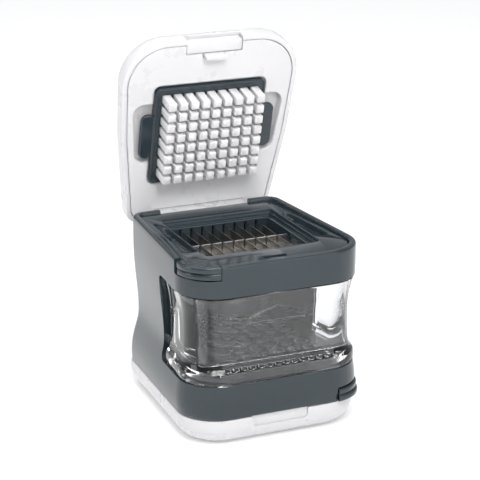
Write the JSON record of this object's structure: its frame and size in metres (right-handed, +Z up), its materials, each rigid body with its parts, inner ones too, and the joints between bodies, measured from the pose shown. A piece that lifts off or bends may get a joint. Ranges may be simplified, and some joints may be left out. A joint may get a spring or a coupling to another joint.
{
  "type": "vegetable dicer",
  "caption": "Hand-pressed vegetable dicer: hinged lid with square pins, lift-out blade insert, clear drawer and a second insert stored in the base.",
  "frame": {"origin": "on the floor, under the middle of the blade grid", "axes": "+X to the user's right, +Y to the hinge side, +Z up"},
  "size_m": [0.0796, 0.0997, 0.1548],
  "materials": {
    "white_plastic": "satin white moulding",
    "slate_plastic": "satin slate grey moulding",
    "blade_steel": "ground stainless strip",
    "clear_plastic": "polished clear plastic"
  },
  "bodies": {
    "body": {"body_shell": "slate_plastic", "container_deck": "slate_plastic", "lid_hinge_pin": "blade_steel", "base_hinge_pin": "blade_steel"},
    "lid": {"lid_shell": "white_plastic", "lid_liner": "white_plastic", "lid_latch_block": "white_plastic", "lid_latch_hook": "white_plastic", "lid_hinge_block": "white_plastic", "pusher_pins": "white_plastic"},
    "comb": {"cleaning_comb": "slate_plastic"},
    "slicer_insert": {"slicer_frame": "slate_plastic", "slicer_blade_1": "blade_steel", "slicer_blade_2": "blade_steel", "slicer_blade_3": "blade_steel", "slicer_blade_4": "blade_steel", "slicer_blade_5": "blade_steel", "slicer_blade_6": "blade_steel", "slicer_blade_7": "blade_steel", "slicer_blade_8": "blade_steel", "slicer_cross_blade_1": "blade_steel"},
    "drawer": {"container": "clear_plastic"},
    "base_cover": {"base_cover_shell": "white_plastic", "base_cover_liner": "white_plastic", "base_latch_hook": "white_plastic", "base_hinge_block": "white_plastic"},
    "dicer_insert": {"dicer_frame": "slate_plastic", "dicer_blade_1": "blade_steel", "dicer_blade_2": "blade_steel", "dicer_blade_3": "blade_steel", "dicer_blade_4": "blade_steel", "dicer_blade_5": "blade_steel", "dicer_blade_6": "blade_steel", "dicer_blade_7": "blade_steel", "dicer_blade_8": "blade_steel", "dicer_cross_blade_1": "blade_steel", "dicer_cross_blade_2": "blade_steel", "dicer_cross_blade_3": "blade_steel", "dicer_cross_blade_4": "blade_steel", "dicer_cross_blade_5": "blade_steel", "dicer_cross_blade_6": "blade_steel", "dicer_cross_blade_7": "blade_steel"}
  },
  "joints": [
    {"name": "lid_hinge", "type": "hinge", "parent": "body", "child": "lid", "pos_m": [0, 0.0395, 0.0716], "axis": [-1, 0, 0], "range_deg": [-75.1, 24.9]},
    {"name": "comb_slide", "type": "slide", "parent": "lid", "child": "comb", "axis": [0, -0.9664, -0.2571], "range_m": [0, 0.0105]},
    {"name": "slicer_lift", "type": "slide", "parent": "body", "child": "slicer_insert", "axis": [0, 0, 1], "range_m": [0, 0.0135]},
    {"name": "drawer_slide", "type": "slide", "parent": "body", "child": "drawer", "axis": [0, -1, 0], "range_m": [0, 0.076]},
    {"name": "base_cover_hinge", "type": "hinge", "parent": "body", "child": "base_cover", "pos_m": [0, 0.0395, 0.0175], "axis": [1, 0, 0], "range_deg": [0, 95]},
    {"name": "dicer_drop", "type": "slide", "parent": "body", "child": "dicer_insert", "axis": [0, 0, -1], "range_m": [0, 0.012]}
  ],
  "couplings": [
    {"joint": "dicer_drop", "follows": "base_cover_hinge", "m_per_rad": 0.0072}
  ]
}
